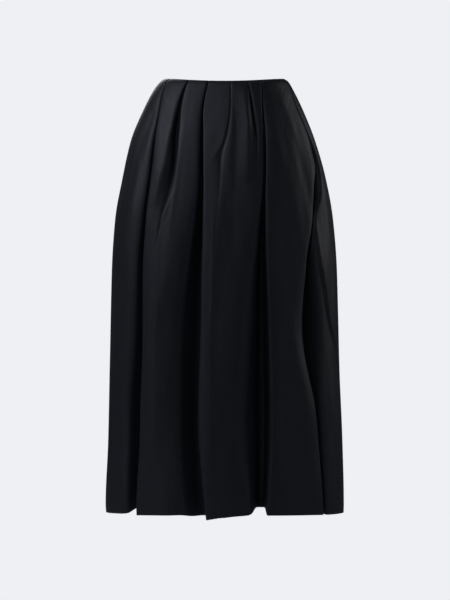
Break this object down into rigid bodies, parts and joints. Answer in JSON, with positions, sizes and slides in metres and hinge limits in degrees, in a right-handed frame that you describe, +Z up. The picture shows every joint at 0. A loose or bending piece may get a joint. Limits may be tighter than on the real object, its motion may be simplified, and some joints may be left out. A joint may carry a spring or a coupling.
{
  "type": "maxi skirt",
  "caption": "Long straight-falling black satin skirt, worn form with open waist and hem, pleats released from a plain waist edge, back zip with a hinged pull.",
  "frame": {"origin": "middle of the waist opening, at the height of the two side corners of the waist edge, where a waist holds it", "axes": "+Z up, out of the waist opening; the front faces -Y; +X is towards the viewer's right in the picture"},
  "size_m": [0.5003, 0.4112, 0.9135],
  "materials": {
    "satin": "woven black satin with a soft, broad sheen",
    "zip_tape": "dull black woven tape",
    "zip_metal": "smooth black enamel"
  },
  "bodies": {
    "skirt": {"skirt_front": "satin", "skirt_back_left": "satin", "skirt_back_right": "satin", "zip_tape_left": "zip_tape", "zip_tape_right": "zip_tape", "zip_slider": "zip_metal"},
    "zip_pull": {"zip_pull": "zip_metal"}
  },
  "joints": [
    {"name": "zip_pull_hinge", "type": "hinge", "parent": "skirt", "child": "zip_pull", "pos_m": [0, 0.10381, -0.01027], "axis": [1, 0, 0], "range_deg": [0, 160]}
  ]
}
